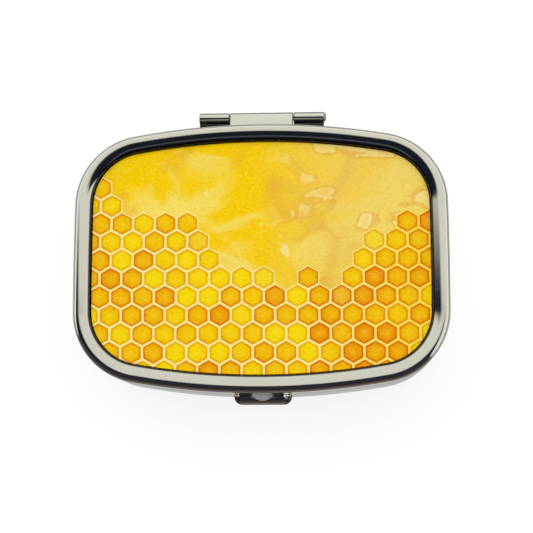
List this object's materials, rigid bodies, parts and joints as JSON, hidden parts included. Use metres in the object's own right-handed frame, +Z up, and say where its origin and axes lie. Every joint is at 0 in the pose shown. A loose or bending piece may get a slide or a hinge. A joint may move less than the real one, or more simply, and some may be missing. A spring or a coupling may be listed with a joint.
{
  "type": "pill box",
  "caption": "Rounded rectangular pill box with a hinged lid, a printed picture under a clear dome, a push-button catch and a two-part tray.",
  "frame": {"origin": "centre of the flat underside", "axes": "+X to the right seen from the button side, +Y from the button to the hinge, +Z up through the lid"},
  "size_m": [0.056, 0.0446, 0.0154],
  "materials": {
    "polished_shell": "bright nickel plate, polished",
    "inner_metal": "satin plated steel",
    "pin_steel": "drawn wire, lightly polished",
    "spring_steel": "rolled spring strip, blued slightly",
    "tray_plastic": "moulded, satin",
    "frame_plastic": "moulded, glossy",
    "mirror": "silvered glass",
    "adhesive": "double-sided film",
    "print": "printed watercolour honeycomb on sheet",
    "dome_resin": "clear doming resin, glossy"
  },
  "bodies": {
    "base": {"base_shell": "polished_shell", "base_collar": "inner_metal", "hinge_knuckle_left": "polished_shell", "hinge_knuckle_right": "polished_shell", "hinge_pin": "pin_steel", "pill_tray": "tray_plastic", "latch_leaf": "spring_steel", "latch_bracket": "inner_metal", "latch_rivet": "pin_steel"},
    "button": {"latch_button": "polished_shell"},
    "lid": {"lid_shell": "polished_shell", "lid_knuckle": "polished_shell", "lid_hook": "inner_metal", "mirror_adhesive": "adhesive", "mirror_glass": "mirror", "mirror_frame": "frame_plastic", "print_adhesive": "adhesive", "print_plate": "print", "clear_dome": "dome_resin"}
  },
  "joints": [
    {"name": "lid_hinge", "type": "hinge", "parent": "base", "child": "lid", "pos_m": [0, 0.0223, 0.0106], "axis": [-1, 0, 0], "range_deg": [0, 100], "deforming": ["latch_leaf"]},
    {"name": "button_press", "type": "slide", "parent": "base", "child": "button", "axis": [0, 1, 0], "range_m": [0, 0.0008], "stiffness_N_per_m": 400, "deforming": ["latch_leaf"]}
  ]
}
